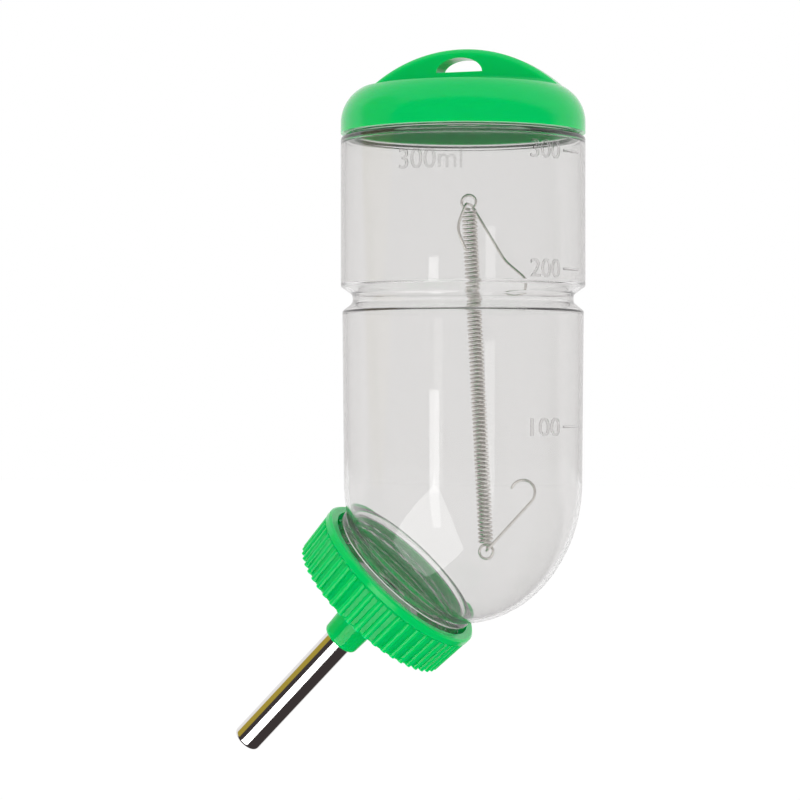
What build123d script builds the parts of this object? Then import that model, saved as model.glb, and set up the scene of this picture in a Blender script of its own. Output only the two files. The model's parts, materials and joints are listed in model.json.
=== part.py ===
from build123d import *
import os
from math import cos, radians, sin, sqrt

# Hanging water bottle for a rabbit or other small animal, 300 ml, in millimetres.
#
# Frame: +Z up. The origin is on the bottle's axis at the middle of the band groove, where the
# cage hanger grips it. The neck, the screw collar and the spout point down and towards -X, in
# the XZ plane, and so does the length of the hanging fin on the cap.

# ---------------------------------------------------------------- driving dimensions

# Bottle
body_radius = 31.0           # outside, above the groove
body_radius_low = 30.18      # outside, where the dome starts
body_wall = 1.1
shoulder_z = 41.3            # ledge that the cap sits over
shoulder_round = 1.5
dome_start_z = -46.2
dome_depth = 36.0            # from the start of the dome to its lowest point
stub_radius = 28.9           # closed stub that the cap pushes onto
stub_height = 7.1
stub_round = 3.0
ellipse_pull = 0.5523        # handle of the cubic that follows a quarter ellipse, as a share of its radius
seam_turn = 110              # degrees from +X, so that the body's seam stays clear of the neck

# Groove round the bottle for the hanger
groove_depth = 3.0
groove_mouth = 6.2           # height of the groove at its mouth
groove_floor = 2.0           # height of its floor
groove_edge_round = 0.8
groove_floor_round = 1.2

# Slanted neck, measured along its own axis from the point where that crosses the bottle's axis
neck_angle = 45.8            # below the horizontal
neck_cross_z = -52.9
neck_radius = 20.4
neck_wall = 1.6
neck_flare_start = 16.2
neck_flare_radius = 23.8
neck_bead_at = 21.9
neck_bead_height = 0.8
neck_mouth_at = 32.9

# Screw thread on the neck and in the collar
thread_pitch = 4.0
thread_height = 1.0
thread_base = 1.9
thread_crest = 1.0
thread_clearance = 0.4       # from a crest to the wall it faces
neck_thread_turns = 1.5
collar_thread_turns = 1.0
thread_sink = 0.3            # how far a thread is let into its wall

# Screw collar
collar_rim_at = 23.4
collar_height = 12.6
collar_rim_radius = 24.2
collar_front_radius = 23.2
collar_plate = 1.6
collar_edge = 0.5
rib_count = 48
rib_radius = 0.95
rib_proud = 0.8
rib_band = 2.6               # smooth band at the rim

# Spout boss and tube
boss_length = 12.5
boss_root_radius = 5.65
boss_end_radius = 4.9
boss_round = 1.4
tube_radius = 3.75
tube_wall = 0.5
tube_length_proud = 37.6     # from the boss to the tip
tube_flange_radius = 5.2
tube_flange = 0.6
tip_round = 1.3
tip_hole_radius = 2.35
tip_lip = 0.6
crimp_depth = 0.75
crimp_length = 2.2           # it ends level with the end of the boss

# Valve balls
ball_radius = 3.0
ball_seat_gap = 0.04
ball_gap = 0.05

# Seal
seal_thickness = 1.5
seal_radius = 21.3
seal_bore_radius = 17.6

# Cap
cap_radius = 31.0
cap_skirt_z = 41.9
cap_edge_start_z = 44.5
cap_edge_radius = 26.0       # where the rounded edge meets the crown
cap_edge_top_z = 53.1
cap_edge_bulge = 1.35        # how far the rounded edge stands out from its chord
cap_crown_z = 54.9
cap_wall = 1.8
cap_clearance = 0.15
fin_top_z = 63.1
fin_arc_radius = 38.3
fin_half_length = 28.4
fin_thickness = 6.5
fin_edge_round = 1.6
fin_root_round = 1.6
hole_half_width = 6.1
hole_floor_z = 57.2
hole_height = 3.6

# Spring hanger, stored inside the bottle against its back wall
wire_radius = 0.375
coil_radius = 2.05
ring_radius = 1.9            # end loops, to the middle of the wire
top_ring = Vector(-6.6, 24.4, 26.4)
foot_ring = Vector(-0.9, 21.9, -65.3)


# ---------------------------------------------------------------- frames and helpers

neck_axis = Vector(-cos(radians(neck_angle)), 0, -sin(radians(neck_angle)))
neck_up = Vector(-sin(radians(neck_angle)), 0, cos(radians(neck_angle)))
neck_frame = Plane(origin=(0, 0, neck_cross_z), x_dir=neck_up, z_dir=neck_axis)

collar_front_at = collar_rim_at + collar_height
plate_inner_at = collar_front_at - collar_plate
collar_bore = neck_radius + thread_height + thread_clearance
boss_end_at = collar_front_at + boss_length
tip_at = boss_end_at + tube_length_proud


def turn(outline):
    """A closed half section in the XZ plane, turned about Z."""
    return revolve(Plane.XZ * make_face(outline), Axis.Z)


def ring(inner, outer, low, high):
    """A plain ring about Z."""
    outline = Polyline((inner, low), (outer, low), (outer, high), (inner, high), close=True)
    return turn(outline)


def on_neck(shape):
    """Moves a shape made about Z onto the neck's axis."""
    return neck_frame.location * shape


def round_wire(points, radii, radius):
    """A round bar along straight runs joined by arcs."""
    path = FilletPolyline(*points, radius=radii)
    section = Plane(origin=path @ 0, z_dir=path % 0) * Circle(radius)
    return sweep(section, path=path)


def thread_ridge(wall_radius, outward, start, turns):
    """One helical ridge about Z, let a little into the wall that carries it."""
    side = 1 if outward else -1
    root = wall_radius - side * thread_sink
    crest = wall_radius + side * thread_height
    slope = (thread_base - thread_crest) / 2 * thread_sink / thread_height
    half_root = thread_base / 2 + slope
    half_crest = thread_crest / 2
    outline = Polyline(
        (root, -half_root),
        (crest, -half_crest),
        (crest, half_crest),
        (root, half_root),
        close=True,
    )
    section = Pos(0, 0, start) * (Plane.XZ * make_face(outline))
    path = Pos(0, 0, start) * Helix(pitch=thread_pitch, height=thread_pitch * turns, radius=wall_radius)
    return sweep(section, path=path, is_frenet=True)


# ---------------------------------------------------------------- bottle

def vessel(inset):
    """The bottle's outside, or its cavity when inset by the wall."""
    spread = inset / 2
    upper = body_radius - inset
    floor = body_radius - groove_depth - inset
    lower = body_radius_low - inset
    taper = (body_radius - body_radius_low) / (shoulder_z - dome_start_z)
    below_groove = lower + taper * (-groove_mouth / 2 - dome_start_z)
    stub = stub_radius - inset
    stub_top = shoulder_z + stub_height - inset
    wall_line = FilletPolyline(
        (0, stub_top),
        (stub, stub_top),
        (stub, shoulder_z - inset),
        (upper, shoulder_z - inset),
        (upper, groove_mouth / 2 + spread),
        (floor, groove_floor / 2 + spread),
        (floor, -groove_floor / 2 - spread),
        (below_groove, -groove_mouth / 2 - spread),
        (lower, dome_start_z),
        radius=[
            stub_round,
            0.3,
            min(shoulder_round, (upper - stub) * 0.6),
            groove_edge_round,
            groove_floor_round,
            groove_floor_round,
            groove_edge_round,
        ],
    )
    # The dome is a quarter ellipse, drawn as the cubic that follows it.
    bottom_z = dome_start_z - dome_depth + inset
    pull = ellipse_pull * lower
    drop = ellipse_pull * (dome_depth - inset)
    dome = Bezier(
        (lower, dome_start_z),
        (lower, dome_start_z - drop),
        (pull, bottom_z),
        (0, bottom_z),
    )
    axis_line = Line((0, bottom_z), (0, stub_top))
    return Rot(0, 0, seam_turn) * turn(Curve() + [wall_line, dome, axis_line])


def make_bottle_body():
    flare_end = neck_flare_start + neck_flare_radius - neck_radius
    neck = turn(
        Polyline(
            (0, neck_flare_start / 2),
            (neck_flare_radius, neck_flare_start / 2),
            (neck_flare_radius, neck_flare_start),
            (neck_radius, flare_end),
            (neck_radius, neck_mouth_at),
            (0, neck_mouth_at),
            close=True,
        )
    )
    bead_radius = (neck_bead_height + 1) / 2
    bead = Pos(0, 0, neck_bead_at) * Torus(neck_radius + neck_bead_height - bead_radius, bead_radius)
    bore_radius = neck_radius - neck_wall
    bore = Pos(0, 0, neck_flare_start / 2) * Cylinder(
        bore_radius,
        neck_mouth_at,
        align=(Align.CENTER, Align.CENTER, Align.MIN),
    )
    thread_top = neck_mouth_at - thread_base
    thread_start = thread_top - neck_thread_turns * thread_pitch
    ridge = thread_ridge(neck_radius, True, thread_start, neck_thread_turns)
    outside = vessel(0) + on_neck(neck + bead)
    hollow = outside - vessel(body_wall) - on_neck(bore)
    return hollow + on_neck(ridge)


# ---------------------------------------------------------------- cap

def cap_section(inset, low):
    """Half section of the cap's outside, or of the space under it."""
    edge_start = Vector(cap_radius - inset, cap_edge_start_z)
    edge_end = Vector(cap_edge_radius - inset / 2, cap_edge_top_z - inset)
    chord = edge_end - edge_start
    middle = (edge_start + edge_end) * 0.5 + Vector(chord.Y, -chord.X).normalized() * cap_edge_bulge
    crown_top = Vector(0, cap_crown_z - inset)
    rise = crown_top.Y - edge_end.Y
    crown_radius = (edge_end.X**2 + rise**2) / (2 * rise)
    half_way = edge_end.X / 2
    crown_middle = Vector(half_way, crown_top.Y - crown_radius + sqrt(crown_radius**2 - half_way**2))
    return Curve() + [
        Line((0, low), (edge_start.X, low)),
        Line((edge_start.X, low), edge_start),
        ThreePointArc(edge_start, middle, edge_end),
        ThreePointArc(edge_end, crown_middle, crown_top),
        Line(crown_top, (0, low)),
    ]


def make_fin():
    """The hanging fin: an arched plate along X with a half-moon hole through it."""
    drop = fin_arc_radius - sqrt(fin_arc_radius**2 - fin_half_length**2)
    end_z = fin_top_z - drop
    base_z = cap_skirt_z + cap_wall
    outline = Curve() + [
        ThreePointArc((-fin_half_length, end_z), (0, fin_top_z), (fin_half_length, end_z)),
        Line((fin_half_length, end_z), (fin_half_length - cap_wall, base_z)),
        Line((fin_half_length - cap_wall, base_z), (cap_wall - fin_half_length, base_z)),
        Line((cap_wall - fin_half_length, base_z), (-fin_half_length, end_z)),
    ]
    plate = extrude(Plane.XZ * make_face(outline), fin_thickness / 2, both=True)
    arcs = plate.edges().filter_by(GeomType.CIRCLE)
    plate = fillet(arcs, fin_edge_round)
    hole_outline = Curve() + [
        EllipticalCenterArc(
            (0, hole_floor_z),
            hole_half_width,
            hole_height,
            start_angle=0,
            arc_size=180,
        ),
        Line((-hole_half_width, hole_floor_z), (hole_half_width, hole_floor_z)),
    ]
    return plate - extrude(Plane.XZ * make_face(hole_outline), fin_thickness, both=True)


def is_fin_root(edge):
    """Whether an edge is where a side of the fin meets the crown."""
    middle = edge.center()
    on_side = abs(abs(middle.Y) - fin_thickness / 2) < 0.01
    return on_side and abs(middle.X) < 0.01 and middle.Z < cap_crown_z


def make_top_cap():
    outside = turn(cap_section(0, cap_skirt_z)) + make_fin()
    outside = fillet(outside.edges().filter_by(is_fin_root), fin_root_round)
    under_wall = cap_radius - stub_radius - cap_clearance
    space = turn(cap_section(under_wall, cap_skirt_z - 1))
    return outside - space


# ---------------------------------------------------------------- collar, seal and spout

def make_screw_collar():
    outer = turn(
        Polyline(
            (0, collar_rim_at),
            (collar_rim_radius - collar_edge, collar_rim_at),
            (collar_rim_radius, collar_rim_at + collar_edge),
            (collar_rim_radius, collar_rim_at + rib_band - rib_proud),
            (collar_rim_radius - rib_proud, collar_rim_at + rib_band),
            (collar_front_radius - rib_proud, collar_front_at - collar_edge),
            (collar_front_radius - rib_proud - collar_edge, collar_front_at),
            (0, collar_front_at),
            close=True,
        )
    )
    boss = turn(
        FilletPolyline(
            (0, collar_front_at - collar_plate / 2),
            (boss_root_radius, collar_front_at - collar_plate / 2),
            (boss_root_radius, collar_front_at),
            (boss_end_radius, boss_end_at),
            (0, boss_end_at),
            radius=[0.1, 0.1, boss_round],
        )
        + Line((0, boss_end_at), (0, collar_front_at - collar_plate / 2))
    )
    slope = (collar_rim_radius - collar_front_radius) / collar_height
    rib_start = collar_rim_at + rib_band - rib_proud / 2
    start = Vector(collar_rim_radius - slope * (rib_start - collar_rim_at) - rib_radius, 0, rib_start)
    end = Vector(collar_front_radius - rib_radius, 0, collar_front_at - collar_edge / 2)
    rib_line = Line(start, end)
    rib = sweep(Plane(origin=start, z_dir=rib_line % 0) * Circle(rib_radius), path=rib_line)
    ribs = [Rot(0, 0, 360 / rib_count * i) * rib for i in range(rib_count)]
    cavity = Pos(0, 0, collar_rim_at) * Cylinder(
        collar_bore,
        plate_inner_at - collar_rim_at,
        align=(Align.CENTER, Align.CENTER, Align.MIN),
    )
    tube_hole = Pos(0, 0, collar_front_at) * Cylinder(tube_radius, 4 * boss_length)
    # The collar's thread is half a pitch away from the neck's, so that each runs in the other's gap.
    thread_start = neck_mouth_at - thread_base - neck_thread_turns * thread_pitch + thread_pitch / 2
    ridge = thread_ridge(collar_bore, False, thread_start, collar_thread_turns)
    shell = outer + boss + ribs - cavity - tube_hole
    return on_neck(shell + ridge)


def make_seal_ring():
    return on_neck(ring(seal_bore_radius, seal_radius, neck_mouth_at, neck_mouth_at + seal_thickness))


def make_spout_tube():
    """A drawn tube with a flange inside the collar, a retaining crimp and a rolled-in tip."""
    inner = tube_radius - tube_wall
    crimp_at = boss_end_at - crimp_length / 2
    half = crimp_length / 2
    flange_at = plate_inner_at - tube_flange
    outline = Curve() + [
        Polyline(
            (inner, flange_at),
            (tube_flange_radius, flange_at),
            (tube_flange_radius, plate_inner_at),
            (tube_radius, plate_inner_at),
            (tube_radius, crimp_at - half),
        ),
        ThreePointArc(
            (tube_radius, crimp_at - half),
            (tube_radius - crimp_depth, crimp_at),
            (tube_radius, crimp_at + half),
        ),
        Line((tube_radius, crimp_at + half), (tube_radius, tip_at - tip_round)),
        RadiusArc((tube_radius, tip_at - tip_round), (tube_radius - tip_round, tip_at), -tip_round),
        Polyline(
            (tube_radius - tip_round, tip_at),
            (tip_hole_radius, tip_at),
            (tip_hole_radius, tip_at - tip_lip),
            (inner, tip_at - tip_lip - (inner - tip_hole_radius)),
            (inner, crimp_at + half),
        ),
        ThreePointArc(
            (inner, crimp_at + half),
            (inner - crimp_depth, crimp_at),
            (inner, crimp_at - half),
        ),
        Line((inner, crimp_at - half), (inner, flange_at)),
    ]
    return on_neck(turn(outline))


def ball_seat_at():
    """Where the lower ball's middle is when it rests on the tip's lip."""
    lip_at = tip_at - tip_lip
    return lip_at - sqrt(ball_radius**2 - tip_hole_radius**2) - ball_seat_gap


def make_ball(at):
    return on_neck(Pos(0, 0, at) * Sphere(ball_radius))


# ---------------------------------------------------------------- hanger

coil_axis = (top_ring - foot_ring).normalized()


def ring_frame(centre):
    """Directions at an end loop: across, along the coil, and towards the bottle's axis."""
    inward = Vector(-centre.X, -centre.Y, 0)
    inward = (inward - coil_axis * inward.dot(coil_axis)).normalized()
    across = coil_axis.cross(inward)
    return across, coil_axis, inward


def at_ring(centre, place):
    across, along, inward = ring_frame(centre)
    return centre + across * place[0] + along * place[1] + inward * place[2]


def make_hanger_spring():
    """A close-wound coil, shown as its sleeve, with a loop at each end."""
    reach = ring_radius - wire_radius / 2
    low = foot_ring + coil_axis * reach
    high = top_ring - coil_axis * reach
    length = (high - low).length
    sleeve = Cylinder(coil_radius, length, align=(Align.CENTER, Align.CENTER, Align.MIN))
    sleeve -= Cylinder(coil_radius - 2 * wire_radius, length, align=(Align.CENTER, Align.CENTER, Align.MIN))
    spring = Plane(origin=low, z_dir=coil_axis).location * sleeve
    for centre in (top_ring, foot_ring):
        inward = ring_frame(centre)[2]
        spring += Plane(origin=centre, z_dir=inward).location * Torus(ring_radius, wire_radius)
    return spring


# Each hook's corners as (across, along the coil, towards the bottle's axis) from its end loop,
# and the radius of the bend at each corner between the two ends.
upper_hook_corners = [
    (-1.4, -12.4, 3.1),
    (-3.4, -7.0, 3.1),
    (-0.6, -0.6, 3.0),
    (0.6, -0.6, -2.7),
    (8.7, -15.8, -1.6),
    (14.1, -21.2, 3.2),
    (14.1, -25.4, 3.2),
    (9.6, -25.4, 2.0),
    (8.3, -23.7, 1.6),
]
upper_hook_bends = [6.0, 1.2, 1.2, 6.0, 2.4, 2.6, 2.6]
lower_hook_corners = [
    (-0.9, 10.4, -3.0),
    (-0.5, 1.9, -2.75),
    (0.0, 0.2, -1.2),
    (0.8, 0.2, 2.9),
    (14.3, 13.5, 1.0),
    (14.3, 18.2, 0.6),
    (9.35, 18.2, 0.6),
    (8.0, 16.4, 0.6),
]
lower_hook_bends = [1.0, 0.9, 1.2, 3.1, 3.1, 3.1]


def make_hook(centre, corners, bends):
    points = [at_ring(centre, corner) for corner in corners]
    return round_wire(points, bends, wire_radius)


# ---------------------------------------------------------------- write the pieces

seat_at = ball_seat_at()
pieces = {
    "bottle_body": make_bottle_body(),
    "top_cap": make_top_cap(),
    "screw_collar": make_screw_collar(),
    "seal_ring": make_seal_ring(),
    "spout_tube": make_spout_tube(),
    "ball_lower": make_ball(seat_at),
    "ball_upper": make_ball(seat_at - 2 * ball_radius - ball_gap),
    "hanger_spring": make_hanger_spring(),
    "hook_upper": make_hook(top_ring, upper_hook_corners, upper_hook_bends),
    "hook_lower": make_hook(foot_ring, lower_hook_corners, lower_hook_bends),
}

os.makedirs("parts", exist_ok=True)
for name, piece in pieces.items():
    solids = piece.solids()
    print(name, len(solids), "solid", round(sum(s.volume for s in solids), 1), "mm3")
    export_step(solids[0] if len(solids) == 1 else Compound(solids), f"parts/{name}.step")
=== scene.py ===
import json
import math

import bmesh
import bpy
from mathutils import Matrix, Vector


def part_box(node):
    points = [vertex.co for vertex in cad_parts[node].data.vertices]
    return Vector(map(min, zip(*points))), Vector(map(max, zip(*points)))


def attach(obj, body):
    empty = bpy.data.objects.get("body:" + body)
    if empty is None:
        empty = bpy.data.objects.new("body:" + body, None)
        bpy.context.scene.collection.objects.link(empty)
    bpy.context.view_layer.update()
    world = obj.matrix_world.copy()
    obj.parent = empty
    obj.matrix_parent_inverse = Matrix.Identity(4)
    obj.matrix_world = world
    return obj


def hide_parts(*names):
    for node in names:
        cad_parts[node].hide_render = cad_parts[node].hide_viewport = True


# Looks for a hanging 300 ml water bottle. Everything is in metres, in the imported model's frame:
# +Z up, origin in the band groove on the bottle's axis, spout down and towards -X.

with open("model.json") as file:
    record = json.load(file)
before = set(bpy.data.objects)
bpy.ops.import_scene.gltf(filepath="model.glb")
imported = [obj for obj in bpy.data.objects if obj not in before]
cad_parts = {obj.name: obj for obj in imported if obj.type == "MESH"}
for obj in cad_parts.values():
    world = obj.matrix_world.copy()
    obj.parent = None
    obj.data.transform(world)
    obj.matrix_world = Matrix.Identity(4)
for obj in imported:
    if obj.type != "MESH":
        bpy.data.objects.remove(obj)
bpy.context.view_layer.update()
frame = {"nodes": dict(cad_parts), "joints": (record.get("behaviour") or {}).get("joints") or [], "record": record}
mounts = {mount["name"]: mount for mount in frame["record"]["mounts"]}
joints = {joint["name"]: joint for joint in frame["joints"]}
MM = 0.001
UP = Vector((0, 0, 1))

# ---------------------------------------------------------------- sizes

# The neck's frame: its axis, and "at" counts along it from where it crosses the bottle's axis.
NECK_AXIS = Vector(mounts["spout_tube"]["axis"]).normalized()
spout_middle = Vector(mounts["spout_tube"]["pos_m"])
NECK_CROSS = spout_middle - NECK_AXIS * (spout_middle.x / NECK_AXIS.x)
NECK_UP = Vector((NECK_AXIS.z, 0, -NECK_AXIS.x))
NECK_SIDE = NECK_AXIS.cross(NECK_UP)

# Bottle
BODY_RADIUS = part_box("bottle_body")[1].x
STUB_TOP_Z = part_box("bottle_body")[1].z
BODY_RADIUS_LOW = 30.18 * MM
BODY_WALL = 1.1 * MM
SHOULDER_Z = 41.3 * MM
SHOULDER_ROUND = 1.2 * MM
DOME_START_Z = -46.2 * MM
DOME_DEPTH = 36.0 * MM
STUB_RADIUS = 28.9 * MM
STUB_ROUND = 3.0 * MM
GROOVE_DEPTH = 3.0 * MM
GROOVE_MOUTH = 6.2 * MM
GROOVE_FLOOR = 2.0 * MM
GROOVE_EDGE_ROUND = 0.8 * MM
GROOVE_FLOOR_ROUND = 1.2 * MM

# Neck and its thread
NECK_RADIUS = 20.4 * MM
NECK_WALL = 1.6 * MM
NECK_FILLET = 1.8 * MM
NECK_PATCH = 24.0 * MM       # radius of the part of the dome that is meshed round the neck
NECK_BEAD_AT = 21.9 * MM
NECK_BEAD_HEIGHT = 0.8 * MM
NECK_BEAD_WIDTH = 1.8 * MM
NECK_MOUTH_AT = 32.9 * MM
NECK_LIP = 0.4 * MM
THREAD_PITCH = 4.0 * MM
THREAD_HEIGHT = 1.0 * MM
THREAD_BASE = 1.9 * MM
THREAD_CREST = 1.0 * MM
THREAD_TURNS = 1.5

# Spring hanger
WIRE_RADIUS = 0.375 * MM
COIL_RADIUS = 2.05 * MM
COIL_PITCH = 1.06 * MM
RING_RADIUS = 1.9 * MM
TOP_RING = Vector(joints["upper_hook_swing"]["pos_m"])
FOOT_RING = Vector(joints["lower_hook_swing"]["pos_m"])
COIL_AXIS = (TOP_RING - FOOT_RING).normalized()

COLUMNS = 240                # round the bottle
CORNER_STEP = math.radians(9)
END_ANGLES = (20, 45, 70)    # rows of a wire's rounded ends, in degrees from its tip
DOME_ROWS = 60
THREAD_ROWS = 56
BEAD_ROWS = 8
FILLET_ROWS = 6
PATCH_ROWS = 4
THREAD_END_RAMP = 18         # how steeply the thread rises at its ends
INNER_FILLET_SHARE = 0.6
INNER_PATCH_STEP = 2.0 * MM
STUB_FOOT_ROUND = 0.3 * MM   # where the stub meets the shoulder
LOOP_POINTS = 20
LOOP_STEP = 17.5             # degrees between the points of a spring's end loop
FOOT_LOOP_START = 90
TOP_LOOP_START = -62.5
POINTS_PER_TURN = 18
COIL_SIDES = 8
HOOK_SIDES = 14


# ---------------------------------------------------------------- camera, light and surround

CAMERA_AZIMUTH = math.radians(20)
CAMERA_DISTANCE = 680 * MM
CAMERA_HEIGHT = -25.6 * MM
CAMERA_ASIDE = -15.97 * MM   # how far the camera stands to the right of the bottle's axis
CAMERA_LENS = 120.7
FLOOR_Z = -0.25
TO_CAMERA = Vector((math.sin(CAMERA_AZIMUTH), -math.cos(CAMERA_AZIMUTH), 0))
TO_RIGHT = Vector((math.cos(CAMERA_AZIMUTH), math.sin(CAMERA_AZIMUTH), 0))

ROOM_DARK = (0.055, 0.045, 0.045, 1)
ROOM_WHITE = (0.95, 0.94, 0.94, 1)
ROOM_INSIDE = (0.66, 0.645, 0.64, 1)
WARM_WALL = (0.46, 0.35, 0.05, 1)


def heading(azimuth, elevation=0.0):
    """A direction from the object, in degrees: 0 is the camera's side, positive to its right."""
    turn = math.radians(azimuth)
    level = TO_CAMERA * math.cos(turn) + TO_RIGHT * math.sin(turn)
    return level * math.cos(math.radians(elevation)) + UP * math.sin(math.radians(elevation))


def make_camera():
    data = bpy.data.cameras.new("camera")
    data.lens = CAMERA_LENS
    data.sensor_width = 36
    data.clip_start = 0.05
    camera = bpy.data.objects.new("camera", data)
    bpy.context.scene.collection.objects.link(camera)
    camera.location = TO_CAMERA * CAMERA_DISTANCE + TO_RIGHT * CAMERA_ASIDE + UP * CAMERA_HEIGHT
    camera.rotation_euler = (math.radians(90), 0, CAMERA_AZIMUTH)
    bpy.context.scene.camera = camera


def make_softbox(name, azimuth, distance, top, height, width, radiance):
    """An upright softbox that faces the bottle's axis. It lights and shows in reflections only."""
    data = bpy.data.lights.new(name, "AREA")
    data.shape = "RECTANGLE"
    data.size = width
    data.size_y = height
    data.energy = radiance * math.pi * width * height
    lamp = bpy.data.objects.new(name, data)
    bpy.context.scene.collection.objects.link(lamp)
    lamp.location = heading(azimuth) * distance + UP * (top - height / 2)
    lamp.rotation_euler = (-heading(azimuth)).to_track_quat("-Z", "Y").to_euler()
    lamp.visible_camera = False


def make_card(name, headings, distance, radiance):
    """A glowing white card, set by where its corners stand as seen from the object."""
    builder = bmesh.new()
    middle = UP * DOME_START_Z
    corners = [builder.verts.new(heading(*corner) * distance + middle) for corner in headings]
    builder.faces.new(corners)
    mesh = bpy.data.meshes.new(name)
    builder.to_mesh(mesh)
    builder.free()
    card = bpy.data.objects.new(name, mesh)
    bpy.context.scene.collection.objects.link(card)
    material = bpy.data.materials.new(name)
    material.use_nodes = True
    nodes = material.node_tree.nodes
    glow = nodes.new("ShaderNodeEmission")
    glow.inputs["Strength"].default_value = radiance
    material.node_tree.links.new(glow.outputs[0], nodes["Material Output"].inputs["Surface"])
    mesh.materials.append(material)
    card.visible_camera = False
    card.visible_transmission = False
    card.visible_diffuse = False
    card.visible_shadow = False


def make_surround():
    """The studio: white when looked at, or through; dark on the camera's side in reflections."""
    world = bpy.data.worlds.new("studio")
    bpy.context.scene.world = world
    world.use_nodes = True
    nodes = world.node_tree.nodes
    links = world.node_tree.links
    nodes.clear()
    output = nodes.new("ShaderNodeOutputWorld")
    place = nodes.new("ShaderNodeTexCoord")

    def towards(direction, low, high):
        """1 where the direction's share of the sight line is over high, 0 under low."""
        share = nodes.new("ShaderNodeVectorMath")
        share.operation = "DOT_PRODUCT"
        share.inputs[1].default_value = direction
        step = nodes.new("ShaderNodeMapRange")
        step.interpolation_type = "SMOOTHSTEP"
        step.inputs["From Min"].default_value = low
        step.inputs["From Max"].default_value = high
        links.new(place.outputs["Generated"], share.inputs[0])
        links.new(share.outputs["Value"], step.inputs["Value"])
        return step.outputs["Result"]

    def blend(share, first, second):
        mix = nodes.new("ShaderNodeMix")
        mix.data_type = "RGBA"
        links.new(share, mix.inputs["Factor"])
        for value, socket in ((first, mix.inputs[6]), (second, mix.inputs[7])):
            if isinstance(value, tuple):
                socket.default_value = value
            else:
                links.new(value, socket)
        return mix.outputs[2]

    room = blend(towards(TO_CAMERA - UP * 1.2, -0.35, -0.05), ROOM_WHITE, ROOM_DARK)
    room = blend(towards(heading(-91, 20), 0.9, 0.94), room, WARM_WALL)
    fill = blend(towards(TO_CAMERA - UP * 0.5, -1.0, 1.0), (0.8, 0.79, 0.79, 1), (1.25, 1.24, 1.25, 1))
    path = nodes.new("ShaderNodeLightPath")

    def happened(depth):
        """1 for light that has been through that kind of bounce, else 0."""
        once = nodes.new("ShaderNodeMath")
        once.operation = "MINIMUM"
        once.inputs[1].default_value = 1
        links.new(path.outputs[depth], once.inputs[0])
        return once.outputs[0]

    # Inside the clear wall the light comes from all round, so reflections there are pale.
    room = blend(happened("Transmission Depth"), room, ROOM_INSIDE)
    seen = blend(happened("Glossy Depth"), (1, 1, 1, 1), room)
    seen = blend(happened("Diffuse Depth"), seen, fill)
    glow = nodes.new("ShaderNodeBackground")
    links.new(seen, glow.inputs["Color"])
    links.new(glow.outputs[0], output.inputs["Surface"])


def make_floor(material):
    bpy.ops.mesh.primitive_plane_add(size=12, location=(0, 0, FLOOR_Z))
    floor = bpy.context.object
    floor.name = "floor"
    floor.data.materials.append(material)
    floor.visible_glossy = False
    floor.visible_diffuse = False


# ---------------------------------------------------------------- materials

def new_material(name):
    """A material with an empty node tree but for its output and one Principled shader."""
    material = bpy.data.materials.new(name)
    material.use_nodes = True
    nodes = material.node_tree.nodes
    return material, nodes, material.node_tree.links, nodes["Principled BSDF"]


def add_bump(nodes, links, shader, scale, strength, distance, detail=3.0, stretch=(1, 1, 1)):
    """Fine procedural relief on a shader, from the piece's own coordinates."""
    place = nodes.new("ShaderNodeTexCoord")
    mapping = nodes.new("ShaderNodeMapping")
    mapping.inputs["Scale"].default_value = stretch
    noise = nodes.new("ShaderNodeTexNoise")
    noise.inputs["Scale"].default_value = scale
    noise.inputs["Detail"].default_value = detail
    bump = nodes.new("ShaderNodeBump")
    bump.inputs["Strength"].default_value = strength
    bump.inputs["Distance"].default_value = distance
    links.new(place.outputs["Object"], mapping.inputs["Vector"])
    links.new(mapping.outputs["Vector"], noise.inputs["Vector"])
    links.new(noise.outputs["Fac"], bump.inputs["Height"])
    links.new(bump.outputs["Normal"], shader.inputs["Normal"])


def make_clear_plastic():
    """Clear plastic with a milky haze. It lets the light through to what is inside."""
    material, nodes, links, shader = new_material("clear_plastic")
    shader.inputs["Base Color"].default_value = (0.905, 0.90, 0.895, 1)
    shader.inputs["Transmission Weight"].default_value = 1.0
    shader.inputs["Roughness"].default_value = 0.025
    shader.inputs["IOR"].default_value = 1.46
    add_bump(nodes, links, shader, 60, 0.08, 0.0001, detail=1.0, stretch=(1, 1, 0.4))
    haze = nodes.new("ShaderNodeBsdfTranslucent")
    haze.inputs["Color"].default_value = (0.62, 0.60, 0.61, 1)
    milky = nodes.new("ShaderNodeMixShader")
    milky.inputs["Fac"].default_value = 0.045
    shade = nodes.new("ShaderNodeBsdfTransparent")
    shade.inputs["Color"].default_value = (0.92, 0.92, 0.92, 1)
    path = nodes.new("ShaderNodeLightPath")
    lit = nodes.new("ShaderNodeMixShader")
    links.new(shader.outputs[0], milky.inputs[1])
    links.new(haze.outputs[0], milky.inputs[2])
    links.new(path.outputs["Is Shadow Ray"], lit.inputs["Fac"])
    links.new(milky.outputs[0], lit.inputs[1])
    links.new(shade.outputs[0], lit.inputs[2])
    links.new(lit.outputs[0], nodes["Material Output"].inputs["Surface"])
    return material


def make_green_plastic():
    """Glossy moulded plastic, thin enough for some light to come through it."""
    material, nodes, links, shader = new_material("green_plastic")
    shader.inputs["Base Color"].default_value = (0.0, 0.55, 0.125, 1)
    shader.inputs["Roughness"].default_value = 0.12
    shader.inputs["IOR"].default_value = 1.42
    shader.inputs["Specular IOR Level"].default_value = 0.3
    shader.inputs["Subsurface Weight"].default_value = 0.8
    shader.inputs["Subsurface Radius"].default_value = (0.2, 1.0, 0.45)
    shader.inputs["Subsurface Scale"].default_value = 0.0025
    add_bump(nodes, links, shader, 160, 0.1, 0.0001)
    return material


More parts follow.
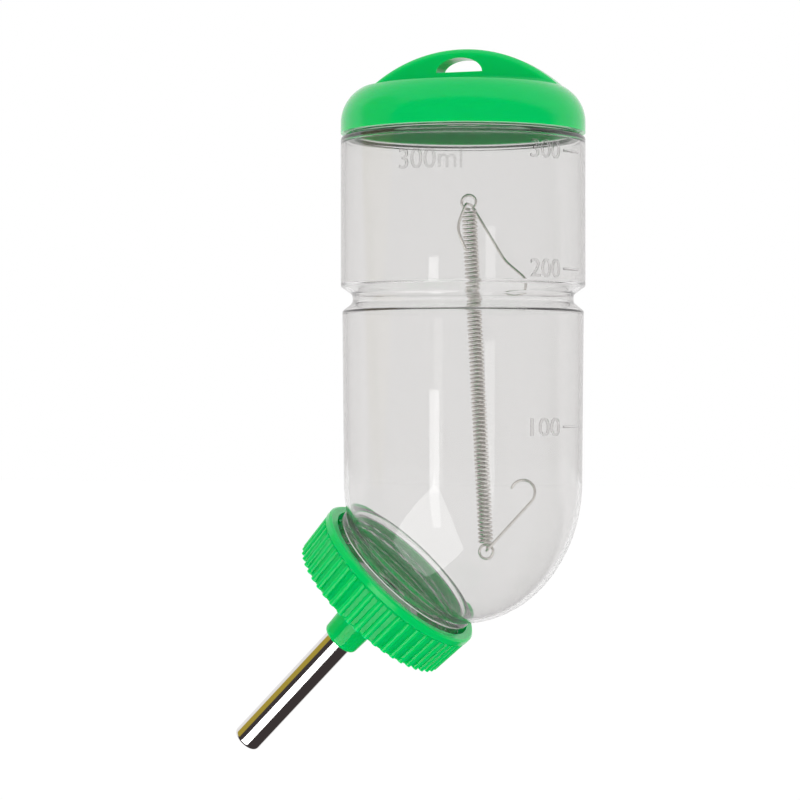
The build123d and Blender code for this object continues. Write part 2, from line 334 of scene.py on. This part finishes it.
def make_polished_steel():
    material, nodes, links, shader = new_material("polished_steel")
    shader.inputs["Base Color"].default_value = (0.78, 0.77, 0.76, 1)
    shader.inputs["Metallic"].default_value = 1.0
    shader.inputs["Roughness"].default_value = 0.09
    add_bump(nodes, links, shader, 700, 0.08, 0.00005)
    return material


def make_spring_wire():
    material, nodes, links, shader = new_material("spring_wire")
    shader.inputs["Base Color"].default_value = (0.80, 0.78, 0.74, 1)
    shader.inputs["Metallic"].default_value = 1.0
    shader.inputs["Roughness"].default_value = 0.16
    add_bump(nodes, links, shader, 900, 0.1, 0.00005)
    return material


def make_white_seal():
    material, nodes, links, shader = new_material("white_seal")
    shader.inputs["Base Color"].default_value = (0.84, 0.84, 0.82, 1)
    shader.inputs["Roughness"].default_value = 0.55
    add_bump(nodes, links, shader, 500, 0.2, 0.0001)
    return material


def make_floor_white():
    """A pale floor, lit enough to meet the white surround without an edge."""
    material, nodes, links, shader = new_material("floor_white")
    shader.inputs["Base Color"].default_value = (0.1, 0.1, 0.1, 1)
    shader.inputs["Roughness"].default_value = 0.9
    shader.inputs["Specular IOR Level"].default_value = 0.0
    shader.inputs["Emission Color"].default_value = (1, 1, 1, 1)
    shader.inputs["Emission Strength"].default_value = 0.92
    return material


# ---------------------------------------------------------------- mesh helpers

def rounded_path(corners, bends):
    """A path, flat or in space, whose inner corners are each rounded to their own radius."""
    corners = [Vector(corner) for corner in corners]
    path = [corners[0]]
    for before, corner, after, radius in zip(corners, corners[1:], corners[2:], bends):
        into = (corner - before).normalized()
        out = (after - corner).normalized()
        turn = into.angle(out)
        if radius <= 0 or turn < 1e-4:
            path.append(corner)
            continue
        start = corner - into * radius * math.tan(turn / 2)
        middle = corner + (out - into).normalized() * radius / math.cos(turn / 2)
        steps = max(2, math.ceil(turn / CORNER_STEP))
        for i in range(steps + 1):
            angle = turn * i / steps
            path.append(middle + (start - middle) * math.cos(angle) + into * radius * math.sin(angle))
    path.append(corners[-1])
    return path


def finish_mesh(name, mesh_builder, body, material, sharp=35):
    """Makes a piece from a bmesh: outward faces, smooth but for its sharp edges, riding on a body."""
    bmesh.ops.recalc_face_normals(mesh_builder, faces=mesh_builder.faces)
    mesh = bpy.data.meshes.new(name)
    mesh_builder.to_mesh(mesh)
    mesh_builder.free()
    mesh.shade_smooth()
    mesh.set_sharp_from_angle(angle=math.radians(sharp))
    mesh.materials.append(material)
    piece = bpy.data.objects.new(name, mesh)
    bpy.context.scene.collection.objects.link(piece)
    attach(piece, body)
    return piece


def add_rows(builder, rows):
    """Joins rings of points with quads. A row of one point closes the end with a fan."""
    rings = [[builder.verts.new(point) for point in row] for row in rows]
    for lower, upper in zip(rings, rings[1:]):
        count = max(len(lower), len(upper))
        for i in range(count):
            j = (i + 1) % count
            if len(lower) == 1:
                builder.faces.new((lower[0], upper[j], upper[i]))
            elif len(upper) == 1:
                builder.faces.new((lower[i], lower[j], upper[0]))
            else:
                builder.faces.new((lower[i], lower[j], upper[j], upper[i]))
    return rings


def add_tube(builder, points, radius, sides):
    """A round-ended wire along points, with a frame carried along so that it doesn't twist."""
    tangents = []
    for i in range(len(points)):
        before = points[max(i - 1, 0)]
        after = points[min(i + 1, len(points) - 1)]
        tangents.append((after - before).normalized())
    normal = tangents[0].orthogonal().normalized()
    rows = []

    def circle(middle, tangent, size):
        across = tangent.cross(normal)
        return [
            middle + (normal * math.cos(a) + across * math.sin(a)) * size
            for a in (2 * math.pi * k / sides for k in range(sides))
        ]

    ball = [math.radians(a) for a in END_ANGLES]
    rows.append([points[0] - tangents[0] * radius])
    for angle in ball:
        middle = points[0] - tangents[0] * radius * math.cos(angle)
        rows.append(circle(middle, tangents[0], radius * math.sin(angle)))
    for point, tangent in zip(points, tangents):
        normal = (normal - tangent * normal.dot(tangent)).normalized()
        rows.append(circle(point, tangent, radius))
    for angle in reversed(ball):
        middle = points[-1] + tangents[-1] * radius * math.cos(angle)
        rows.append(circle(middle, tangents[-1], radius * math.sin(angle)))
    rows.append([points[-1] + tangents[-1] * radius])
    add_rows(builder, rows)


# ---------------------------------------------------------------- bottle

def on_neck(radius, angle, at):
    """A place given round the neck's axis."""
    return NECK_CROSS + NECK_AXIS * at + (NECK_UP * math.cos(angle) + NECK_SIDE * math.sin(angle)) * radius


def dome_at(radius, angle, inset):
    """How far along the neck's axis the dome's surface lies, that far from the axis."""
    across = BODY_RADIUS_LOW - inset
    down = DOME_DEPTH - inset
    middle = Vector((0, 0, DOME_START_Z))
    squash = Matrix.Diagonal((1 / across, 1 / across, 1 / down))
    start = squash @ (on_neck(radius, angle, 0) - middle)
    step = squash @ NECK_AXIS
    a = step.dot(step)
    b = start.dot(step)
    c = start.dot(start) - 1
    return (-b + math.sqrt(b * b - a * c)) / a


def thread_rise(angle, at):
    """Height of the screw thread above the neck at a place on it."""
    start = NECK_MOUTH_AT - THREAD_BASE - THREAD_TURNS * THREAD_PITCH
    rise = 0.0
    for lap in range(math.ceil(THREAD_TURNS)):
        turned = angle / (2 * math.pi) + lap
        off = abs(at - start - THREAD_PITCH * turned)
        ramp = (THREAD_BASE / 2 - off) / ((THREAD_BASE - THREAD_CREST) / 2)
        ends = min(turned, THREAD_TURNS - turned) * THREAD_END_RAMP
        rise = max(rise, THREAD_HEIGHT * min(max(ramp, 0), 1) * min(max(ends, 0), 1))
    return rise


def wall_outline(inset):
    """The wall from the dome's edge up to the middle of the closed top, as (radius, z)."""
    spread = inset / 2
    upper = BODY_RADIUS - inset
    floor = BODY_RADIUS - GROOVE_DEPTH - inset
    lower = BODY_RADIUS_LOW - inset
    taper = (BODY_RADIUS - BODY_RADIUS_LOW) / (SHOULDER_Z - DOME_START_Z)
    below_groove = lower + taper * (-GROOVE_MOUTH / 2 - DOME_START_Z)
    stub = STUB_RADIUS - inset
    corners = [
        (lower, DOME_START_Z),
        (below_groove, -GROOVE_MOUTH / 2 - spread),
        (floor, -GROOVE_FLOOR / 2 - spread),
        (floor, GROOVE_FLOOR / 2 + spread),
        (upper, GROOVE_MOUTH / 2 + spread),
        (upper, SHOULDER_Z - inset),
        (stub, SHOULDER_Z - inset),
        (stub, STUB_TOP_Z - inset),
        (0, STUB_TOP_Z - inset),
    ]
    radii = [
        GROOVE_EDGE_ROUND,
        GROOVE_FLOOR_ROUND,
        GROOVE_FLOOR_ROUND,
        GROOVE_EDGE_ROUND,
        SHOULDER_ROUND,
        STUB_FOOT_ROUND,
        STUB_ROUND,
    ]
    return rounded_path(corners, radii)


def dome_rows(patch, inset, count):
    """Rows from a ring round the neck to the dome's edge, along great circles from the neck."""
    across = BODY_RADIUS_LOW - inset
    down = DOME_DEPTH - inset
    middle = Vector((0, 0, DOME_START_Z))
    stretch = Matrix.Diagonal((across, across, down))
    squash = stretch.inverted()
    pole = (squash @ (on_neck(0, 0, dome_at(0, 0, inset)) - middle)).normalized()
    columns = []
    edge = []
    for i in range(COLUMNS):
        angle = 2 * math.pi * i / COLUMNS
        start = (squash @ (on_neck(patch, angle, dome_at(patch, angle, inset)) - middle)).normalized()
        rim = pole.cross(start).cross(UP)
        end = rim.normalized() if rim.dot(start - pole * pole.dot(start)) > 0 else -rim.normalized()
        spread = start.angle(end)
        column = []
        for k in range(count + 1):
            share = k / count
            if spread < 1e-6:
                column.append(start)
                continue
            place = start * math.sin((1 - share) * spread) + end * math.sin(share * spread)
            column.append(place / math.sin(spread))
        columns.append([middle + stretch @ place for place in column])
        edge.append(Vector((end.x, end.y, 0)).normalized())
    return [[column[k] for column in columns] for k in range(count + 1)], edge


def shell_rows(inset, neck_profile, neck_radius, fillet, patch):
    """One side of the bottle's wall, from the mouth of the neck to the closed top."""
    angles = [2 * math.pi * i / COLUMNS for i in range(COLUMNS)]
    rows = []
    for radius, at in neck_profile:
        row = []
        for angle in angles:
            rise = thread_rise(angle, at) if inset == 0 and radius == neck_radius else 0
            row.append(on_neck(radius + rise, angle, at))
        rows.append(row)
    for k in range(FILLET_ROWS + 1):
        turn = math.radians(90) * k / FILLET_ROWS
        radius = neck_radius + fillet * (1 - math.cos(turn))
        lift = fillet * (1 - math.sin(turn))
        rows.append([on_neck(radius, angle, dome_at(radius, angle, inset) + lift) for angle in angles])
    first = neck_radius + fillet
    for k in range(1, PATCH_ROWS):
        radius = first + (patch - first) * k / PATCH_ROWS
        rows.append([on_neck(radius, angle, dome_at(radius, angle, inset)) for angle in angles])
    dome, edge = dome_rows(patch, inset, DOME_ROWS)
    rows += dome
    outline = wall_outline(inset)
    for radius, z in outline[1:-1]:
        rows.append([Vector((way.x * radius, way.y * radius, z)) for way in edge])
    rows.append([Vector((0, 0, outline[-1][1]))])
    return rows


def make_bottle(material):
    inner_radius = NECK_RADIUS - NECK_WALL
    bead_low = NECK_BEAD_AT - NECK_BEAD_WIDTH / 2
    outside = [(NECK_RADIUS - NECK_LIP, NECK_MOUTH_AT), (NECK_RADIUS, NECK_MOUTH_AT - NECK_LIP)]
    thread_low = NECK_BEAD_AT + NECK_BEAD_WIDTH / 2
    for k in range(1, THREAD_ROWS + 1):
        at = NECK_MOUTH_AT - NECK_LIP - (NECK_MOUTH_AT - NECK_LIP - thread_low) * k / THREAD_ROWS
        outside.append((NECK_RADIUS, at))
    for k in range(1, BEAD_ROWS + 1):
        share = math.cos(math.pi * k / BEAD_ROWS) / 2 + 0.5
        bulge = math.sin(math.pi * k / BEAD_ROWS) if k < BEAD_ROWS else 0
        outside.append((NECK_RADIUS + NECK_BEAD_HEIGHT * bulge, bead_low + NECK_BEAD_WIDTH * share))
    inside = [(inner_radius + NECK_LIP, NECK_MOUTH_AT), (inner_radius, NECK_MOUTH_AT - NECK_LIP)]
    builder = bmesh.new()
    outer = add_rows(builder, shell_rows(0, outside, NECK_RADIUS, NECK_FILLET, NECK_PATCH))
    inner_fillet = NECK_FILLET * INNER_FILLET_SHARE
    inner_patch = NECK_PATCH - INNER_PATCH_STEP
    inner = add_rows(builder, shell_rows(BODY_WALL, inside, inner_radius, inner_fillet, inner_patch))
    for i in range(COLUMNS):
        j = (i + 1) % COLUMNS
        builder.faces.new((outer[0][i], outer[0][j], inner[0][j], inner[0][i]))
    bottle = finish_mesh("bottle", builder, "bottle", material, sharp=50)
    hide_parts("bottle_body")


# ---------------------------------------------------------------- spring hanger and hooks

def ring_frame(centre):
    """Directions at an end loop: across, along the coil, and towards the bottle's axis."""
    inward = Vector((-centre.x, -centre.y, 0))
    inward = (inward - COIL_AXIS * inward.dot(COIL_AXIS)).normalized()
    return COIL_AXIS.cross(inward), COIL_AXIS, inward


def at_ring(centre, place):
    across, along, inward = ring_frame(centre)
    return centre + (across * place[0] + along * place[1] + inward * place[2]) * MM


def make_spring(material):
    """A close-wound coil whose wire runs out into a loop at each end."""
    middle_radius = COIL_RADIUS - WIRE_RADIUS
    low = FOOT_RING + COIL_AXIS * (RING_RADIUS + WIRE_RADIUS)
    high = TOP_RING - COIL_AXIS * (RING_RADIUS + WIRE_RADIUS)
    length = (high - low).length
    turns = round(length / COIL_PITCH)
    per_turn = POINTS_PER_TURN
    across, along, inward = ring_frame(FOOT_RING)
    points = []
    for k in range(LOOP_POINTS):
        angle = math.radians(FOOT_LOOP_START - LOOP_STEP * k)
        points.append(FOOT_RING + (across * math.cos(angle) + along * math.sin(angle)) * RING_RADIUS)
    for k in range(turns * per_turn + 1):
        angle = 2 * math.pi * k / per_turn
        rise = length * k / (turns * per_turn)
        round_coil = (across * math.cos(angle) + inward * math.sin(angle)) * middle_radius
        points.append(low + along * rise + round_coil)
    across, along, inward = ring_frame(TOP_RING)
    for k in range(LOOP_POINTS):
        angle = math.radians(TOP_LOOP_START + LOOP_STEP * k)
        points.append(TOP_RING + (across * math.cos(angle) + along * math.sin(angle)) * RING_RADIUS)
    builder = bmesh.new()
    add_tube(builder, points, WIRE_RADIUS, COIL_SIDES)
    spring = finish_mesh("spring_coil", builder, "hanger", material, sharp=80)
    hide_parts("hanger_spring")


# Each hook's corners as (across, along the coil, towards the bottle's axis) from its end loop, in mm.
UPPER_HOOK_BENDS = [6.0, 1.2, 1.2, 6.0, 2.4, 2.6, 2.6]
LOWER_HOOK_BENDS = [1.0, 0.9, 1.2, 3.1, 3.1, 3.1]
UPPER_HOOK = [
    (-1.4, -12.4, 3.1),
    (-3.4, -7.0, 3.1),
    (-0.6, -0.6, 3.0),
    (0.6, -0.6, -2.7),
    (8.7, -15.8, -1.6),
    (14.1, -21.2, 3.2),
    (14.1, -25.4, 3.2),
    (9.6, -25.4, 2.0),
    (8.3, -23.7, 1.6),
]
LOWER_HOOK = [
    (-0.9, 10.4, -3.0),
    (-0.5, 1.9, -2.75),
    (0.0, 0.2, -1.2),
    (0.8, 0.2, 2.9),
    (14.3, 13.5, 1.0),
    (14.3, 18.2, 0.6),
    (9.35, 18.2, 0.6),
    (8.0, 16.4, 0.6),
]


def make_hook(name, centre, corners, bends, body, node, material):
    bends = [bend * MM for bend in bends]
    points = rounded_path([at_ring(centre, corner) for corner in corners], bends)
    builder = bmesh.new()
    add_tube(builder, points, WIRE_RADIUS, HOOK_SIDES)
    hook = finish_mesh(name, builder, body, material, sharp=80)
    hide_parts(node)


# ---------------------------------------------------------------- graduations

MARK_RISE = 0.28 * MM
MARK_GAP = 0.01 * MM         # keeps a mark's back clear of the wall
TICK_HALF_WIDTH = 0.3 * MM
TICK_LENGTH = 7.6 * MM
TICK_AZIMUTH = 78.5
NUMBER_SIZE = (9.6 * MM, 4.5 * MM)
NUMBER_AZIMUTH = 59.5
LEVELS = ((300, 35.9), (200, 6.75), (100, -32.2))     # millilitres and height in mm
CAPACITY_SIZE = (16 * MM, 5.0 * MM)
CAPACITY_AZIMUTH = 3.5
CAPACITY_Z = 33.2 * MM


def wrap_on_body(piece, azimuth, z):
    """Bends flat marks, drawn in XY with their depth in Z, round the bottle."""
    for vertex in piece.data.vertices:
        turn = math.radians(azimuth) + vertex.co.x / BODY_RADIUS
        radius = BODY_RADIUS + vertex.co.z
        height = z + vertex.co.y
        vertex.co = (math.sin(turn) * radius, -math.cos(turn) * radius, height)


def make_number(name, words, width, height, azimuth, z, material):
    """Raised figures on the bottle's wall, fitted to a width and a height."""
    curve = bpy.data.curves.new(name, "FONT")
    curve.body = words
    curve.extrude = 0.5
    curve.resolution_u = 6
    flat = bpy.data.objects.new(name, curve)
    mesh = bpy.data.meshes.new_from_object(flat)
    bpy.data.objects.remove(flat)
    builder = bmesh.new()
    builder.from_mesh(mesh)
    bpy.data.meshes.remove(mesh)
    low = Vector([min(vertex.co[k] for vertex in builder.verts) for k in range(3)])
    high = Vector([max(vertex.co[k] for vertex in builder.verts) for k in range(3)])
    middle = (low + high) / 2
    for vertex in builder.verts:
        away = vertex.co - middle
        vertex.co.x = away.x / (high.x - low.x) * width
        vertex.co.y = away.y / (high.y - low.y) * height
        vertex.co.z = MARK_GAP if away.z < 0 else MARK_RISE
    bmesh.ops.remove_doubles(builder, verts=builder.verts, dist=0.001 * MM)
    strips = int(width / (0.5 * MM))
    for k in range(1, strips):
        bmesh.ops.bisect_plane(
            builder,
            geom=list(builder.verts) + list(builder.edges) + list(builder.faces),
            plane_co=(width * (k / strips - 0.5), 0, 0),
            plane_no=(1, 0, 0),
        )
    number = finish_mesh(name, builder, "bottle", material)
    wrap_on_body(number, azimuth, z)


def make_tick(name, length, azimuth, z, material):
    """A raised line across the wall, rounded in section."""
    builder = bmesh.new()
    angles = [math.radians(a) for a in range(0, 181, 30)]
    section = [(TICK_HALF_WIDTH * math.cos(a), MARK_RISE * math.sin(a)) for a in angles]
    steps = 16
    rings = []
    for k in range(steps + 1):
        along = length * (k / steps - 0.5)
        rings.append([builder.verts.new((along, high, deep + MARK_GAP)) for high, deep in section])
    for first, second in zip(rings, rings[1:]):
        for i in range(len(section)):
            j = (i + 1) % len(section)
            builder.faces.new((first[i], first[j], second[j], second[i]))
    builder.faces.new(rings[0])
    builder.faces.new(rings[-1])
    tick = finish_mesh(name, builder, "bottle", material)
    wrap_on_body(tick, azimuth, z)


def make_graduations(material):
    for level, z in LEVELS:
        make_number(f"number_{level}", str(level), *NUMBER_SIZE, NUMBER_AZIMUTH, z * MM, material)
        make_tick(f"tick_{level}", TICK_LENGTH, TICK_AZIMUTH, z * MM, material)
    make_number("number_capacity", "300ml", *CAPACITY_SIZE, CAPACITY_AZIMUTH, CAPACITY_Z, material)


# ---------------------------------------------------------------- the object

# Where the low card's corners stand from the object, as (azimuth, elevation) in degrees.
CARD_HEADINGS = [(-29, -2), (-24, -4), (-13, -23), (0, -47), (-79, -61), (-88, -32), (-64, -22)]

clear_plastic = make_clear_plastic()
green_plastic = make_green_plastic()
polished_steel = make_polished_steel()
spring_wire = make_spring_wire()
white_seal = make_white_seal()

make_camera()
make_softbox("softbox_left", -28.5, 1.6, 0.02, 1.0, 0.26, 2.6)
make_softbox("softbox_right", 24, 1.6, 0.09, 1.2, 0.26, 1.3)
make_card("card_low", CARD_HEADINGS, 2.5, 3.2)
make_surround()
make_floor(make_floor_white())

for node, material in (
    ("top_cap", green_plastic),
    ("screw_collar", green_plastic),
    ("seal_ring", white_seal),
    ("spout_tube", polished_steel),
    ("ball_lower", polished_steel),
    ("ball_upper", polished_steel),
):
    piece = frame["nodes"][node]
    piece.data.materials.clear()
    piece.data.materials.append(material)

make_bottle(clear_plastic)
make_spring(spring_wire)
for name, ring, corners, bends, body, node in (
    ("wire_hook_upper", TOP_RING, UPPER_HOOK, UPPER_HOOK_BENDS, "upper_hook", "hook_upper"),
    ("wire_hook_lower", FOOT_RING, LOWER_HOOK, LOWER_HOOK_BENDS, "lower_hook", "hook_lower"),
):
    make_hook(name, ring, corners, bends, body, node, spring_wire)
make_graduations(clear_plastic)

scene = bpy.context.scene
scene.view_settings.view_transform = "Standard"
scene.view_settings.look = "None"
